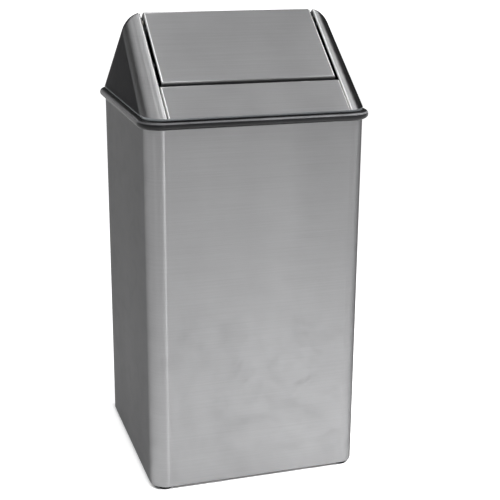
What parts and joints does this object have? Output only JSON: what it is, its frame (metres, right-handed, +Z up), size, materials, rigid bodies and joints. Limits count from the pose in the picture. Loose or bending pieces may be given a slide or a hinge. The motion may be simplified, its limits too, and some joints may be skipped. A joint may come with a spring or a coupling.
{
  "type": "swing top trash can",
  "caption": "Square steel waste receptacle with a lift-off gabled hood, a self-closing swing door and a lift-out liner.",
  "frame": {"origin": "on the floor under the centre of the can", "axes": "+Z up, the front with the fixed panel and the nearer half of the door faces -Y, the ridge runs along X"},
  "size_m": [0.381, 0.381, 0.77],
  "materials": {
    "stainless_sheet": "brushed, grain across the faces",
    "galvanised_sheet": "galvanised, satin",
    "foot_rubber": "matte",
    "rivet_steel": "satin",
    "nylon": "satin",
    "rod_steel": "zinc plated",
    "vinyl_trim": "satin, semi-gloss",
    "liner_plastic": "moulded, lightly textured"
  },
  "bodies": {
    "can": {"body_shell": "stainless_sheet", "seam_strip": "galvanised_sheet", "bottom_pan": "galvanised_sheet", "foot_front_left": "foot_rubber", "foot_front_right": "foot_rubber", "foot_rear_left": "foot_rubber", "foot_rear_right": "foot_rubber", "foot_rivets": "rivet_steel", "bumper_trim": "vinyl_trim"},
    "liner": {"liner": "liner_plastic"},
    "hood": {"hood_frame": "galvanised_sheet", "left_end_cap": "stainless_sheet", "right_end_cap": "stainless_sheet", "front_lower_panel": "stainless_sheet", "rear_lower_panel": "stainless_sheet", "panel_rivets": "rivet_steel", "frame_rivets": "rivet_steel", "left_pivot_bracket": "galvanised_sheet", "right_pivot_bracket": "galvanised_sheet", "bracket_rivets": "rivet_steel", "left_bushing": "nylon", "right_bushing": "nylon"},
    "door": {"door_panel": "stainless_sheet", "left_door_hanger": "galvanised_sheet", "right_door_hanger": "galvanised_sheet", "hanger_rivets": "rivet_steel", "pivot_rod": "rod_steel", "left_spacer": "nylon", "right_spacer": "nylon", "rod_retainers": "rod_steel"}
  },
  "joints": [
    {"name": "hood_lift", "type": "slide", "parent": "can", "child": "hood", "axis": [0, 0, 1], "range_m": [0, 0.7]},
    {"name": "liner_lift", "type": "slide", "parent": "can", "child": "liner", "axis": [0, 0, 1], "range_m": [0, 0.63]},
    {"name": "door_swing", "type": "hinge", "parent": "hood", "child": "door", "pos_m": [0, 0, 0.75159], "axis": [1, 0, 0], "range_deg": [-53, 53]}
  ],
  "couplings": [
    {"joint": "liner_lift", "follows": "hood_lift", "ratio": 0.9}
  ]
}
